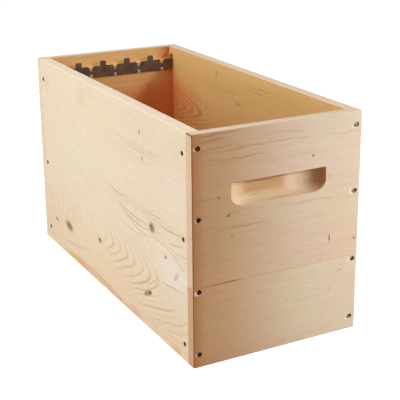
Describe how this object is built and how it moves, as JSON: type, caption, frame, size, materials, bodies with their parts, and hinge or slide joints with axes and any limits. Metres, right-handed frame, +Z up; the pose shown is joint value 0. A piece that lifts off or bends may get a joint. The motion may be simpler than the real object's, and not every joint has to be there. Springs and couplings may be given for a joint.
{
  "type": "nuc box",
  "caption": "Tall open-topped pine box with rebated, nailed corners, a handhold in each end and notched metal strips that hang bee frames side by side.",
  "frame": {"origin": "middle of the underside, on the surface that the box stands on", "axes": "+Z up, +Y along the box from the front end to the rear end, +X from the left side board to the right one"},
  "size_m": [0.234, 0.511, 0.289],
  "materials": {
    "end_pine": "planed bare pine",
    "side_pine": "planed bare pine",
    "floor_ply": "bare plywood",
    "spacer_metal": "dull dark brown stamped sheet",
    "bright_nail": "bright wire nail",
    "dark_nail": "dark sunk nail head"
  },
  "bodies": {
    "root": {"front_lower_board": "end_pine", "front_upper_board": "end_pine", "rear_lower_board": "end_pine", "rear_upper_board": "end_pine", "left_side_board": "side_pine", "right_side_board": "side_pine", "floor_panel": "floor_ply", "front_frame_spacer": "spacer_metal", "rear_frame_spacer": "spacer_metal", "front_spacer_nails": "bright_nail", "rear_spacer_nails": "bright_nail", "front_face_left_nails": "dark_nail", "front_face_right_nails": "dark_nail", "rear_face_left_nails": "dark_nail", "rear_face_right_nails": "dark_nail", "left_side_front_nails": "dark_nail", "left_side_rear_nails": "dark_nail", "right_side_front_nails": "dark_nail", "right_side_rear_nails": "dark_nail", "floor_nails": "dark_nail"}
  },
  "joints": []
}
